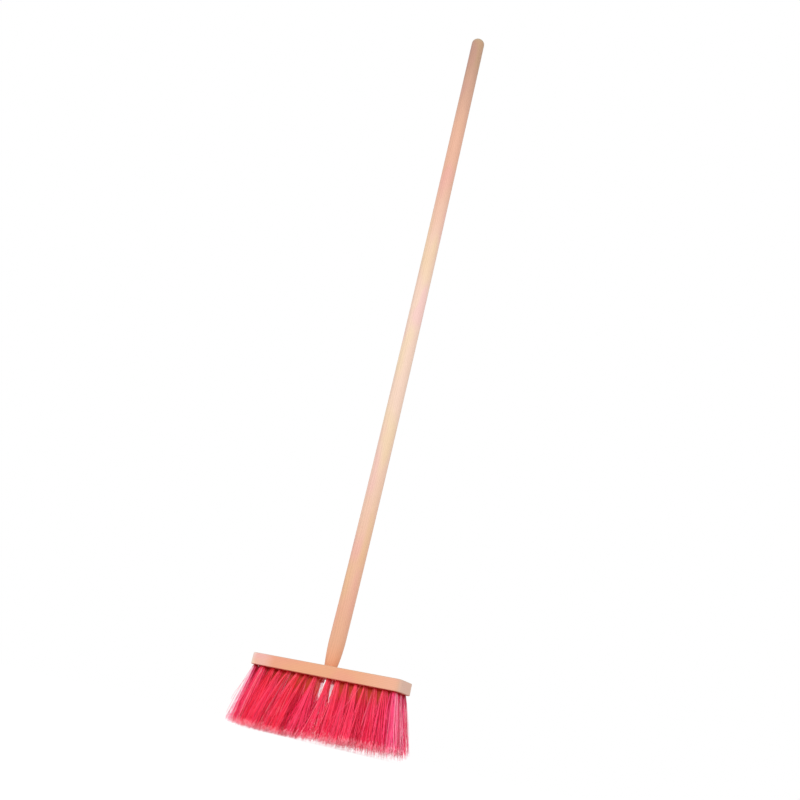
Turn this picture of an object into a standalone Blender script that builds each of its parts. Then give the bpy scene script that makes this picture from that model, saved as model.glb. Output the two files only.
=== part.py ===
"""Street broom: a turned wooden handle, a drilled wooden block and rows of bristle tufts.

Metres, +Z up. The origin is on the floor under the middle of the block, in the plane where
the trimmed tips of the bristles stand. X runs along the block, and Y across it to the rear.
"""

import math

import bmesh
import bpy
from mathutils import Matrix, Vector

# The block is a planed board with rounded corners and eased edges
BLOCK_LENGTH = 0.280
BLOCK_WIDTH = 0.050
BLOCK_THICKNESS = 0.019
BLOCK_CORNER_RADIUS = 0.008
BLOCK_EDGE_RADIUS = 0.0015

# The handle is a round stick, domed at the top and turned down to a spigot at the foot
HANDLE_LENGTH = 1.400
HANDLE_DIAMETER = 0.028
HANDLE_DOME_HEIGHT = 0.011
NECK_LENGTH = 0.046
SPIGOT_DIAMETER = 0.021
SPIGOT_CHAMFER = 0.0015
SPIGOT_RECESS = 0.001

# The tufts stand in three rows of holes, which lean outwards towards the block's rim. The two
# middle places of a row stand wider apart, on both sides of the handle's socket. The socket
# leaves no room for the one at its +X side, and one place in the rear row is bare
ROWS = ("front", "middle", "rear")
PLACES_PER_ROW = 16
MIDDLE_STEP = 0.024
END_MARGIN = 0.010
SIDE_MARGIN = 0.0075
TUFT_HOLE_DIAMETER = 0.0075
HOLE_ROOF = 0.007
SOCKET_WALL = 0.001
FAN_ALONG = math.radians(10.0)
FAN_ACROSS = math.radians(6.0)
EMPTY_PLACES = (("middle", 9), ("rear", 8))

# A tuft is a bound root in its hole, and strands that fan out of it to the trimmed tips
BRISTLE_REACH = 0.099
STRANDS_PER_TUFT = 8
STRAND_SLIT = 0.0005
ROOT_COLLAR = 0.0012
TIP_OVERRUN = 0.006
TRIM_RISE = 0.005
TRIM_LEVEL_SHARE = 0.75
SPREAD_ALONG_SHARE = 0.36
SPREAD_ACROSS_SHARE = 0.33
STRAND_SPREAD_SHARES = (1.0, 0.5)
STRAND_BEND_SHARES = ((0.45, 0.25), (1.0, 1.0))

# What fits in something keeps this gap to it, and a cutter runs this far past its cut
FIT_GAP = 0.0003
CUT_OVERRUN = 0.002

# Facets of round shapes
HANDLE_SIDES = 40
HOLE_SIDES = 16
DOME_STEPS = 8
NECK_STEPS = 8
CORNER_STEPS = 8
EDGE_STEPS = 3
SHARP_ANGLE = math.radians(40.0)

UNDERSIDE_Z = BRISTLE_REACH
BLOCK_MIDDLE_Z = UNDERSIDE_Z + BLOCK_THICKNESS / 2
SPIGOT_LENGTH = BLOCK_THICKNESS - SPIGOT_RECESS
SOCKET_RADIUS = SPIGOT_DIAMETER / 2 + FIT_GAP
HOLE_RADIUS = TUFT_HOLE_DIAMETER / 2
HOLE_DEPTH = BLOCK_THICKNESS - HOLE_ROOF
ROOT_RADIUS = HOLE_RADIUS - FIT_GAP
PLACES_TO_END = (PLACES_PER_ROW - 1) / 2
END_PLACE = BLOCK_LENGTH / 2 - END_MARGIN
PITCH_ALONG = (END_PLACE - MIDDLE_STEP / 2) / (PLACES_TO_END - 0.5)
PITCH_ACROSS = BLOCK_WIDTH / 2 - SIDE_MARGIN
TIP_PITCH_ALONG = PITCH_ALONG + BRISTLE_REACH * math.tan(FAN_ALONG) / PLACES_TO_END
TIP_PITCH_ACROSS = PITCH_ACROSS + BRISTLE_REACH * math.tan(FAN_ACROSS)
TIP_END = END_PLACE + BRISTLE_REACH * math.tan(FAN_ALONG)
TRIM_LEVEL = TIP_END * TRIM_LEVEL_SHARE

HANDLE_COLOUR = (0.77, 0.44, 0.28, 1.0)
BLOCK_COLOUR = (0.84, 0.46, 0.29, 1.0)
BRISTLE_COLOUR = (0.86, 0.035, 0.105, 1.0)
END_BRISTLE_COLOUR = (0.86, 0.10, 0.22, 1.0)
WOOD_ROUGHNESS = 0.6
BRISTLE_ROUGHNESS = 0.45


def make_material(name, colour, roughness):
    """A plain Principled material with the colour and roughness of one sub-part."""
    material = bpy.data.materials.new(name)
    material.use_nodes = True
    shader = material.node_tree.nodes["Principled BSDF"]
    shader.inputs["Base Color"].default_value = colour
    shader.inputs["Roughness"].default_value = roughness
    shader.inputs["Metallic"].default_value = 0.0
    material.diffuse_color = colour
    return material


def add_object(name, mesh, collection, parent, material=None):
    """Puts a mesh into the scene as a named piece of the collection."""
    piece = bpy.data.objects.new(name, mesh)
    collection.objects.link(piece)
    piece.parent = parent
    if material:
        mesh.materials.append(material)
    return piece


def mesh_from(bm, name):
    """Ends a bmesh as a mesh that is smooth over round parts and sharp at its corners."""
    bmesh.ops.recalc_face_normals(bm, faces=bm.faces)
    mesh = bpy.data.meshes.new(name)
    bm.to_mesh(mesh)
    bm.free()
    mesh.shade_smooth()
    mesh.set_sharp_from_angle(angle=SHARP_ANGLE)
    return mesh


def handle_profile():
    """Radius and height from the spigot's end, from the top of the dome down to the foot."""
    radius = HANDLE_DIAMETER / 2
    spigot = SPIGOT_DIAMETER / 2
    points = []
    for step in range(DOME_STEPS + 1):
        angle = math.pi / 2 * step / DOME_STEPS
        drop = HANDLE_DOME_HEIGHT * (1 - math.cos(angle))
        points.append((radius * math.sin(angle), HANDLE_LENGTH - drop))
    for step in range(NECK_STEPS + 1):
        down = step / NECK_STEPS
        height = SPIGOT_LENGTH + NECK_LENGTH * (1 - down)
        points.append((radius - (radius - spigot) * down**2, height))
    points.append((spigot, SPIGOT_CHAMFER))
    points.append((spigot - SPIGOT_CHAMFER, 0))
    points.append((0, 0))
    return points


def build_handle(parts, parent):
    """The stick: a half outline turned about its own axis, standing in the block's socket."""
    outline = handle_profile()
    mesh = bpy.data.meshes.new("handle")
    vertices = [(radius, 0, height) for radius, height in outline]
    edges = [(index, index + 1) for index in range(len(outline) - 1)]
    mesh.from_pydata(vertices, edges, [])
    wood = make_material("handle_wood", HANDLE_COLOUR, WOOD_ROUGHNESS)
    handle = add_object("handle", mesh, parts, parent, wood)
    handle.location = (0, 0, UNDERSIDE_Z + SPIGOT_RECESS)
    turn = handle.modifiers.new("turn", "SCREW")
    turn.axis = "Z"
    turn.steps = HANDLE_SIDES
    turn.render_steps = HANDLE_SIDES
    turn.use_merge_vertices = True
    turn.merge_threshold = 0.0001
    turn.use_smooth_shade = True


def tuft_places():
    """Row, number in it, and steps from the middle, of each tuft. Bare places have no number."""
    for row_index, row in enumerate(ROWS):
        across = row_index - (len(ROWS) - 1) / 2
        number = 0
        for place in range(1, PLACES_PER_ROW + 1):
            if (row, place) not in EMPTY_PLACES:
                number += 1
                yield row, number, place - 1 - PLACES_TO_END, across


def lean_of(along, across):
    """How far a tuft runs sideways for each unit that it goes down, as a direction."""
    lean_x = math.tan(FAN_ALONG) * along / PLACES_TO_END
    lean_y = math.tan(FAN_ACROSS) * across
    return Vector((lean_x, lean_y, -1))


def mouth_of(along, across):
    """The middle of a tuft hole's mouth, on the block's underside.

    The holes form an even grid but for the wider step in the middle. One whose inner end would
    come too near the socket stands further out from it, so that the socket's wall is left.
    """
    from_middle = MIDDLE_STEP / 2 + PITCH_ALONG * (abs(along) - 0.5) if along else 0
    mouth_x = math.copysign(from_middle, along)
    mouth = Vector((mouth_x, across * PITCH_ACROSS, UNDERSIDE_Z))
    inner_end = (mouth - lean_of(along, across) * HOLE_DEPTH).to_2d()
    short_by = SOCKET_RADIUS + SOCKET_WALL + HOLE_RADIUS - inner_end.length
    if short_by > 0:
        mouth += inner_end.normalized().to_3d() * short_by
    return mouth


def frame_of(along, across):
    """A tuft's own frame: the hole's mouth at its origin, the tuft running down its -Z."""
    turn = Vector((0, 0, -1)).rotation_difference(lean_of(along, across))
    return Matrix.Translation(mouth_of(along, across)) @ turn.to_matrix().to_4x4()


def add_cutter(name, bm, cutters, parent):
    """A helper solid that is cut away from the block and not shown."""
    cutter = add_object(name, mesh_from(bm, name), cutters, parent)
    cutter.hide_render = True
    cutter.display_type = "WIRE"
    return cutter


def build_hole_cutters(cutters, parent):
    """A drill's cylinder for each tuft, leaning as the tuft does, and one for the socket."""
    length = HOLE_DEPTH + CUT_OVERRUN
    for row, number, along, across in tuft_places():
        bm = bmesh.new()
        bmesh.ops.create_cone(
            bm,
            cap_ends=True,
            segments=HOLE_SIDES,
            radius1=HOLE_RADIUS,
            radius2=HOLE_RADIUS,
            depth=length,
            matrix=Matrix.Translation((0, 0, HOLE_DEPTH - length / 2)),
        )
        cutter = add_cutter(f"{row}_hole_{number:02d}", bm, cutters, parent)
        cutter.matrix_world = frame_of(along, across)
    bm = bmesh.new()
    bmesh.ops.create_cone(
        bm,
        cap_ends=True,
        segments=HANDLE_SIDES,
        radius1=SOCKET_RADIUS,
        radius2=SOCKET_RADIUS,
        depth=BLOCK_THICKNESS + CUT_OVERRUN * 2,
    )
    add_cutter("handle_socket", bm, cutters, parent).location = (0, 0, BLOCK_MIDDLE_Z)


def build_block(parts, cutters, parent):
    """The board: a box with rounded corners and eased edges, then drilled."""
    bm = bmesh.new()
    bmesh.ops.create_cube(bm, size=1)
    bmesh.ops.scale(bm, vec=(BLOCK_LENGTH, BLOCK_WIDTH, BLOCK_THICKNESS), verts=bm.verts)
    upright = [edge for edge in bm.edges if edge.verts[0].co.z * edge.verts[1].co.z < 0]
    bmesh.ops.bevel(
        bm,
        geom=upright,
        offset=BLOCK_CORNER_RADIUS,
        segments=CORNER_STEPS,
        profile=0.5,
        affect="EDGES",
    )
    wood = make_material("block_wood", BLOCK_COLOUR, WOOD_ROUGHNESS)
    block = add_object("block", mesh_from(bm, "block"), parts, parent, wood)
    block.location = (0, 0, BLOCK_MIDDLE_Z)
    ease = block.modifiers.new("eased_edges", "BEVEL")
    ease.width = BLOCK_EDGE_RADIUS
    ease.segments = EDGE_STEPS
    ease.limit_method = "ANGLE"
    ease.angle_limit = SHARP_ANGLE
    drill = block.modifiers.new("drilled_holes", "BOOLEAN")
    drill.operation = "DIFFERENCE"
    drill.solver = "EXACT"
    drill.operand_type = "COLLECTION"
    drill.collection = cutters


def trim_plane(along, across):
    """The height and slope of the trimmed tips under a tuft.

    The tips are level up to a share of the row's half length, and rise from there to the row's
    end as the square of the distance.
    """
    tip = mouth_of(along, across) + lean_of(along, across) * BRISTLE_REACH
    past = max(0, abs(tip.x) - TRIM_LEVEL) / (TIP_END - TRIM_LEVEL)
    slope = math.copysign(TRIM_RISE * 2 * past / (TIP_END - TRIM_LEVEL), tip.x)
    return Vector((tip.x, tip.y, TRIM_RISE * past**2)), Vector((slope, 0, -1))


def strand_tip(root_middle):
    """Where a strand ends, beside the tuft's axis, from the middle of its own root.

    Each strand keeps its own direction round the axis, so none crosses another. Every other
    strand goes only part of the way out, which fills the middle of the tuft.
    """
    angle = math.atan2(root_middle.y, root_middle.x) % math.tau
    turn = int(angle / math.tau * STRANDS_PER_TUFT)
    share = STRAND_SPREAD_SHARES[turn % len(STRAND_SPREAD_SHARES)]
    out_along = TIP_PITCH_ALONG * SPREAD_ALONG_SHARE * share
    out_across = TIP_PITCH_ACROSS * SPREAD_ACROSS_SHARE * share
    return Vector((out_along * math.cos(angle), out_across * math.sin(angle), 0))


def grow_strands(bm, faces, length):
    """Draws each face down as one three-sided strand, which bends outwards on its way."""
    roots = [face.calc_center_median() for face in faces]
    tips = [strand_tip(root) for root in roots]
    centres = list(roots)
    for length_share, spread_share in STRAND_BEND_SHARES:
        faces = bmesh.ops.extrude_discrete_faces(bm, faces=faces)["faces"]
        for index, face in enumerate(faces):
            root = roots[index]
            aim = root.lerp(Vector((tips[index].x, tips[index].y, root.z)), spread_share)
            aim.z = root.z - length * length_share
            bmesh.ops.translate(bm, verts=face.verts, vec=aim - centres[index])
            centres[index] = aim


def trim_strands(bm, along, across):
    """Cuts the strands off along the trimmed surface, and closes their ends."""
    point, normal = trim_plane(along, across)
    to_tuft = frame_of(along, across).inverted()
    geometry = bm.verts[:] + bm.edges[:] + bm.faces[:]
    bmesh.ops.bisect_plane(
        bm,
        geom=geometry,
        plane_co=to_tuft @ point,
        plane_no=to_tuft.to_3x3() @ normal,
        clear_outer=True,
    )
    bmesh.ops.holes_fill(bm, edges=[edge for edge in bm.edges if edge.is_boundary])


def tuft_mesh(name, along, across):
    """One tuft: a round root, whose end face is parted into slices that become strands."""
    root_length = HOLE_DEPTH - FIT_GAP + ROOT_COLLAR
    bm = bmesh.new()
    bmesh.ops.create_cone(
        bm,
        cap_ends=True,
        cap_tris=True,
        segments=STRANDS_PER_TUFT,
        radius1=ROOT_RADIUS,
        radius2=ROOT_RADIUS,
        depth=root_length,
        matrix=Matrix.Translation((0, 0, root_length / 2 - ROOT_COLLAR)),
    )
    bm.normal_update()
    slices = [face for face in bm.faces if face.normal.z < -0.5]
    bmesh.ops.inset_individual(bm, faces=slices, thickness=STRAND_SLIT / 2)
    steepest = lean_of(along, across).length
    grow_strands(bm, slices, BRISTLE_REACH * steepest + TIP_OVERRUN)
    trim_strands(bm, along, across)
    return mesh_from(bm, name)


def build_tufts(parts, parent):
    """Every tuft, seated in its own leaning hole. The row ends have paler bristles."""
    pink = make_material("bristle_pink", BRISTLE_COLOUR, BRISTLE_ROUGHNESS)
    rose = make_material("bristle_rose", END_BRISTLE_COLOUR, BRISTLE_ROUGHNESS)
    for row, number, along, across in tuft_places():
        name = f"{row}_tuft_{number:02d}"
        colour = rose if abs(along) == PLACES_TO_END else pink
        tuft = add_object(name, tuft_mesh(name, along, across), parts, parent, colour)
        tuft.matrix_world = frame_of(along, across)


def main():
    for old in list(bpy.data.objects):
        bpy.data.objects.remove(old, do_unlink=True)
    scene_collection = bpy.context.scene.collection
    parts = bpy.data.collections.new("street_broom")
    cutters = bpy.data.collections.new("street_broom_cutters")
    scene_collection.children.link(parts)
    scene_collection.children.link(cutters)
    root = bpy.data.objects.new("broom_root", None)
    parts.objects.link(root)
    build_hole_cutters(cutters, root)
    build_block(parts, cutters, root)
    build_handle(parts, root)
    build_tufts(parts, root)


main()
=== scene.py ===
"""Street broom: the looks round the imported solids.

Metres, +Z up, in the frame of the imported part: the origin is on the floor under the middle of the
block, X runs along the block and Y across it to the rear.
"""

import math

import bpy
import numpy as np
from bpy.props import FloatProperty, FloatVectorProperty, IntProperty, PointerProperty
from bpy.types import Operator, Panel, PropertyGroup
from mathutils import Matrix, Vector


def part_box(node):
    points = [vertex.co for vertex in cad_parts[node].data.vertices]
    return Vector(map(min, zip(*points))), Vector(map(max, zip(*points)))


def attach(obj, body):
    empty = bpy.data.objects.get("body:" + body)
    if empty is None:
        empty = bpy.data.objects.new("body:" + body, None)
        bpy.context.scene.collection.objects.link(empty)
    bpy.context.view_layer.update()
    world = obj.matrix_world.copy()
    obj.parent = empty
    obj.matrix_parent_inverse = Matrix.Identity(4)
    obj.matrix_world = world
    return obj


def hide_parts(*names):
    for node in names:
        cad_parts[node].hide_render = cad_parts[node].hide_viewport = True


bl_info = {
    "name": "Street Broom",
    "version": (1, 0, 0),
    "blender": (4, 5, 0),
    "location": "3D View > Sidebar > Broom",
    "description": "Builds the wood, the bristles and the stage of a street broom",
    "category": "Object",
}

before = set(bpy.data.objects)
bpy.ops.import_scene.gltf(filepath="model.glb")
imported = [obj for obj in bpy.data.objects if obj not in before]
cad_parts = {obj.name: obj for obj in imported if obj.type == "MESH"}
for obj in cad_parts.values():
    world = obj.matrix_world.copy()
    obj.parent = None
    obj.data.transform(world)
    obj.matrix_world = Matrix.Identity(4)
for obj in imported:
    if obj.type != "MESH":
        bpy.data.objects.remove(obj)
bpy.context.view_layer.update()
BLOCK_LOW, BLOCK_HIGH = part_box("block")
HANDLE_LOW, HANDLE_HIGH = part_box("handle")

FULL_TURN = 2 * math.pi
GOLDEN_ANGLE = math.pi * (3 - math.sqrt(5))

# The rows of tuft holes, as they are drilled in the block. The step between the two middle
# places of a row is the wider one, where the handle's socket is.
ROWS = ("front", "middle", "rear")
PLACES_PER_ROW = 16
EMPTY_PLACES = (("middle", 9), ("rear", 8))
PLACES_TO_END = (PLACES_PER_ROW - 1) / 2
MIDDLE_STEP = 0.024
END_MARGIN = 0.010
SIDE_MARGIN = 0.0075
HOLE_RADIUS = 0.00375
HOLE_DEPTH = 0.012
FAN_ALONG = math.radians(10.0)
FAN_ACROSS = math.radians(6.0)
UNDERSIDE = BLOCK_LOW.z
END_PLACE = BLOCK_HIGH.x - END_MARGIN
PITCH_ALONG = (END_PLACE - MIDDLE_STEP / 2) / (PLACES_TO_END - 0.5)
PITCH_ACROSS = BLOCK_HIGH.y - SIDE_MARGIN

# The handle's turned shape, the clearance of its socket and the wood kept beside the socket
SPIGOT_RADIUS = 0.0105
SPIGOT_LENGTH = 0.018
SPIGOT_CHAMFER = 0.0015
NECK_LENGTH = 0.046
DOME_HEIGHT = 0.011
SOCKET_CLEARANCE = 0.0003
SOCKET_WALL = 0.001
HOLES_KEEP_OFF = SPIGOT_RADIUS + SOCKET_CLEARANCE + SOCKET_WALL + HOLE_RADIUS

# The stick's surface: points along the straight part and along each curve, the waves that
# sanding left, in radians per metre, the power of the height in the bow's sine, and the share
# of the bow that goes across the block
STICK_STEPS = 70
CURVE_STEPS = 14
SANDING_DEPTH = 0.00006
WAVES_UP = 21
SLOWER_WAVES_UP = 8.5
BOW_POWER = 0.7
BOW_ACROSS_SHARE = 0.35

# Where tips lie: the grid that the fan spreads them to, the trimmed surface, the room past the
# outermost tufts' axes, for tips and for any bristle, and the stretch along which wear grows
TIP_PITCH_ALONG = PITCH_ALONG + UNDERSIDE * math.tan(FAN_ALONG) / PLACES_TO_END
TIP_PITCH_ACROSS = PITCH_ACROSS + UNDERSIDE * math.tan(FAN_ACROSS)
TIP_END = END_PLACE + UNDERSIDE * math.tan(FAN_ALONG)
TRIM_RISE = 0.003
TRIM_LEVEL_SHARE = 0.75
TRIM_LEVEL = TIP_END * TRIM_LEVEL_SHARE
TRIM_ZONE = TIP_END - TRIM_LEVEL
END_ROOM = 0.0085
SIDE_ROOM = 0.0055
BRISTLE_END_ROOM = 0.0090
TIP_LIMIT = np.array([TIP_END + BRISTLE_END_ROOM, TIP_PITCH_ACROSS + SIDE_ROOM])
WEAR_FROM = -0.020
WEAR_ZONE = 0.100

# A strand: its sides, its twist in radians, the shares of its length that have a station, the
# circle that roots stand in, what it keeps off the hole's bottom and, with its hairs, off the
# trimmed surface, and its thickness
STRAND_SIDES = 3
STRAND_TWIST = 0.8
STATION_SHARES = np.array([0, 0.03, 0.09, 0.19, 0.33, 0.49, 0.66, 0.84, 1.0])
ROOT_RADIUS = 0.0034
ROOT_GAP = 0.0006
TIP_GAP = 0.0006
HAIR_GAP = 0.0004
THICKNESS_SHARES = (0.85, 1.15)
TAPER_FROM_SHARE = 0.85
TAPER_RATE = 3.4

# How strands gather in bunches: chance in the choice of a bunch, the least and the most that a
# strand is drawn to its own, chance in its aim, what a turn back makes of the aim, and how far
# an aim of 1 reaches, as shares of the steps between the tips of tufts
BUNCH_CHANCE = 0.35
BUNCH_PULL_SHARES = (0.10, 0.60)
AIM_CHANCE = 0.13
INWARD_SHARE = -0.5
WIDE_AIM_SHARE = 1.7
AIM_SHARE = 0.95
AIM_ACROSS_SHARE = 0.60

# How much shorter strands are, in units of their unevenness: mean, spread, and more where worn
SHORTER = 1.9
SHORTER_SPREAD = 0.9
SHORTER_WHERE_WORN = 2.3

# A strand's own bow, its waves from root to tip and the height of those waves
STRAND_BOW = 0.0011
STRAND_WAVES = (0.8, 2.6)
WAVE_HEIGHTS = (0.00005, 0.00045)

# How tufts open: the least and the most power of a strand's length, and the flare at its root.
# Flares are given near the -X end, between, and near the +X end.
OPENS_AT_ONCE = (0.30, 0.95, 0.35)
OPENS_LATE = (1.3, 2.2, 0.35)
FRONT_OPENS_LATE = (1.5, 2.3, 0.15)
FRONT_POWERS, FRONT_FLARES = (0.95, 1.5), (0.7, 0.0, 0.35)
OTHER_POWERS, OTHER_FLARES = (0.6, 1.1), (1.0, 0.7, 0.7)
LATE_WITHIN_PLACES = 2
NEAR_END_PLACES = 6

# The comb along the broom: how far it bends tips, how much of that is near the roots, the
# powers of the two courses, and how much strands differ
COMB_PLACES = (-0.044, 0.012, 0.070, 0.095)
COMB_SHARES = (1.35, 0.40, 0.40, 0.90)
EARLY_COMB_SHARES = (1.0, 0.0, 0.0, 0.6)
EARLY_COMB_POWER = 1.6
LATE_COMB_POWER = 2
COMB_SPREAD = 0.10

# The hairs of a split tip: how far they part, how much longer they get, where they start, and
# their thickness and their place in the strand's length at three stations
HAIR_PARTING = 0.0008
HAIR_PARTING_SHARES = (0.8, 0.5, 0.4)
HAIR_LONGER = 0.009
HAIR_LONGER_WHERE_WORN = 0.009
HAIR_LONGER_POWER = 6
HAIR_START_SHARES = (0.6, 1.3)
HAIR_BOW_SHARE = -0.12
HAIR_RADIUS_SHARES = (1.2, 1.0, 0.5)
HAIR_REACH_SHARES = (0.90, 0.955, 1.0)

# Hues from coral at 0 to magenta at 1, and tones from deep to light: where they start, what
# they gain or lose along the row, and how much tufts, bunches and strands differ
HUE = 0.20
HUE_ALONG = 0.05
HUE_TO_ENDS = 0.80
HUE_TO_ENDS_POWER = 7
HUE_AT_MIDDLE = 0.20
TUFT_HUES, BUNCH_HUES, STRAND_HUES = 0.08, 0.10, 0.10
TONE = 0.66
TUFT_TONES, BUNCH_TONES, STRAND_TONES = 0.05, 0.21, 0.28
# The -X end tuft is darker and the +X end tuft a little lighter: painted shade and light that even
# out how the lamps light the two ends.
TONE_AT_ENDS = {-1: -0.20, 1: 0.02}
# Each tuft is lighter on its -X side and darker on its +X side: painted light and shade, as if lit
# from -X.
LIGHT_AND_SHADE_ACROSS_TUFT = 0.12
TONE_LOST_AT_LEFT = 0.04
LOST_FROM_PLACE, LOST_OVER_PLACES = 4, 2

# Pale strands: at each end, the offset past which a strand of the end tuft is outer and how pale
# it may be, then the chance of a pale strand in each place. The paleness of the end tufts' outer
# strands is painted light, the white room shining through the thin ends of the field.
OUTER_FROM = {-1: -0.1, 1: 0.6}
PALEST_AT_ENDS = {-1: 1.0, 1: 0.50}
PALEST_ELSEWHERE = 0.55
LEAST_PALE_SHARE = 0.35
OUTER_PALE_CHANCE, INNER_PALE_CHANCE, PALE_CHANCE = 0.95, 0.06, 0.03

# Stray bristles: the lean and depth of the bent ones and of the wisps, how the curve between
# mouth and tip is pulled, the wisps for each one at the -X end, and thickness and looks
STRAY_SEED = 77
STRAY_STATIONS = 14
STRAY_LEANS, STRAY_DEPTHS = (-0.042, 0.022), (0.050, 0.085)
WISP_LEANS, WISP_DEPTHS = (0.004, 0.014), (0.060, 0.094)
STRAY_ROOT = 0.004
STRAY_FORWARD = 0.002
SECOND_CORNER_SHARE, SECOND_LEAN_SHARES = 0.35, (0, 0.3)
THIRD_CORNER_SHARE, THIRD_LEAN_SHARES = 0.7, (0.3, 0.8)
WISPS_PER_LEFT_WISP = 4
STRAY_TONES = (0.8, 1.05)
STRAY_REACH_SHARES = (0.1, 0.9)
BENT_RADIUS_SHARE, WISP_RADIUS_SHARE = 0.9, 0.5
BENT_HUE, WISP_HUE = 0.25, 1.0
# The wisps' paleness is painted light shining through the thin ends of the field.
BENT_PALE_SHARE, WISP_PALE_SHARE = 0.1, 0.65

# Corners of the curves of the two stray bristles that the photo shows
SEEN_STRAYS = np.array(
    [
        [
            (0.0722, -0.0185, 0.1010),
            (0.0700, -0.0330, 0.0780),
            (0.0580, -0.0345, 0.0560),
            (0.0380, -0.0340, 0.0390),
        ],
        [
            (0.0206, -0.0185, 0.1010),
            (0.0240, -0.0330, 0.0700),
            (0.0180, -0.0350, 0.0380),
            (0.0390, -0.0345, 0.0440),
        ],
    ]
)

# Bristles beside the wide middle step: how far towards the middle they stand from where a tuft
# would, how high in the block they start, the station that broken ones end by and the shares of
# the way to it, and their thickness and looks
WORN_SEED = 78
WORN_INWARD = 0.0062
WORN_ROOT = 0.0005
BROKEN_STATION = 3
BROKEN_SHARES = (0.75, 0.98)
BROKEN_REACH_SHARE = 0.02
LEFT_REACH_SHARE = 0.45
LEFT_RADIUS_SHARE = 0.8
WORN_TONES, LEFT_LIGHTER = (0.0, 0.35), 0.7
WORN_HUES = (0.3, 0.7)
LEFT_PALE_SHARES = (0.2, 0.75)

# The figure of the wood: lumps of noise per metre, twice across the grain and once along it, the
# levels between which each noise starts to show, and the places that the rings go round
NOISE_MIDDLE = 0.5
WANDER_LUMPS, WANDER_IN_RINGS = (22, 22, 5), 2.4
RING_DARKENS, RING_ENDS = (0.35, 0.95), (0.95, 1.0)
FIBRE_LUMPS = (1400, 1400, 38)
PORE_LUMPS, PORE_LEVELS = (2600, 2600, 260), (0.63, 0.74)
PINK_LUMPS, PINK_LEVELS = (30, 30, 11), (0.50, 0.68)
YELLOW_LUMPS, YELLOW_LEVELS = (26, 26, 8), (0.52, 0.70)
YELLOW_SHIFT = (7, 0, 3)
HANDLE_PITH = (0.045, 0.062)
BLOCK_PITH = (-0.012, -0.055)

# How the figure darkens, dents and roughens the wood
PLAIN_TONE, RING_TONE, PORE_TONE, FIBRE_TONE = 1.03, 0.085, 0.10, 0.12
FIBRE_RELIEF, PORE_RELIEF, RING_RELIEF = 0.7, 0.8, 0.25
RELIEF_DEPTH, RELIEF_STRENGTH = 0.00012, 0.35
WOOD_ROUGHNESS, FIBRE_ROUGHNESS, PORE_ROUGHNESS = 0.50, 0.16, 0.1

# Heights between which the handle's wood changes, and the noises that make the changes ragged
# The handle's changes are partly painted light: a painted highlight at the middle and painted shade
# towards the grip.
FOOT_TO_WAIST = (0.10, 0.62)
WAIST_TO_SHOULDER = (0.78, 1.18)
SHOULDER_TO_GRIP = (1.18, 1.47)
# Just over the block the handle is redder and brighter: painted light that lifts the shade there.
LIT_FOOT_HEIGHTS = (0.118, 0.165)
DRIFT_LUMPS, DRIFT = (40, 40, 14), 0.10
DIRT_LUMPS, DIRT_DRIFT = (260, 260, 120), 0.012
CROWN_HEIGHTS, CROWN_GRIME = (1.484, 1.494), 0.65

# Places along the block between which its wood changes, its noises, and its grey edges: how deep
# the grey is at each edge and how strong. The grey at the +X corner and along the top edge is
# painted shade.
PINK_END, PALE_END = (-0.118, -0.090), (-0.140, -0.126)
OTHER_PINK_END, OTHER_PINK = (0.04, 0.13), 0.4
BLOCK_DRIFT_LUMPS, BLOCK_DRIFT = (60, 60, 90), 0.012
FACING_LEVELS = (0.45, 0.95)
END_GRAIN_SHARE = 0.8
EDGE_NOISE_LUMPS = (55, 240, 240)
CORNER_DEPTH, CORNER_SHADE = 0.010, 0.35
TOP_DEPTH, TOP_DRIFT, TOP_EDGE_SHADE = 0.0019, 0.0016, 0.45
LOW_DEPTH, LOW_DRIFT, LOW_EDGE_GREY = 0.0012, 0.001, 0.25

# The bristles' finish: streaks, and the shares of a strand's length, or the tones, between which
# each colour comes in
STREAK_LUMPS, STREAK_TONE = (900, 900, 60), 0.5
ROOT_SHADE_REACH, ROOT_SHADE = (0.0, 0.40), 0.16
DEEP_TONES = (0.12, 0.72)
LIGHT_TONES, LIGHT_SHARE = (0.62, 1.05), 0.62
TIP_REACH, TIP_TONES = (0.945, 1.0), (0.15, 0.85)
LEAST_TIP_SHARE, TIP_SHARE = 0.25, 0.85
# Where the block's painted shadow lies on the roots
ROOT_SHADOW_REACH = (0.01, 0.075)
PLASTIC_ROUGHNESS, STREAK_ROUGHNESS = 0.42, 0.2
PLASTIC_IOR = 1.30

# Where the painted brown lies among the roots, painted shade with brown light from the wood:
# behind the front row, before the rear edge, away from both ends, more of it towards +X, and
# near the roots
ROOT_BROWN_BEHIND, LEAST_ROOT_BROWN_SHARE = (-0.014, -0.008), 0.2
ROOT_BROWN_BEFORE = (0.018, 0.022)
ROOT_BROWN_WITHIN = (0.112, 0.128)
ROOT_BROWN_FROM_LEFT = (-0.20, 0.0)
ROOT_BROWN_REACH, ROOT_BROWN_SHARE = (0.12, 0.45), 0.8

# The stage: the lamps, the camera, the colours of the floor and the room, and how white the
# floor is seen near the broom and how far out it gets fully white
LAMP_AIM = (0.0, 0.0, 0.7)
KEY_PLACE, KEY_SIZE = (1.5, -2.5, 2.0), 2.2
FILL_PLACE, FILL_SIZE = (-2.4, -1.4, 1.2), 2.0
SENSOR_WIDTH = 36.0
NEAREST_SEEN = 0.01
FLOOR_GREY = (0.86, 0.86, 0.86, 1.0)
WHITE = (1.0, 1.0, 1.0, 1.0)
SEEN_WHITE = 1.10
PLAIN_NEAR = 0.76
PLAIN_ZONE = (0.22, 0.90)


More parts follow.
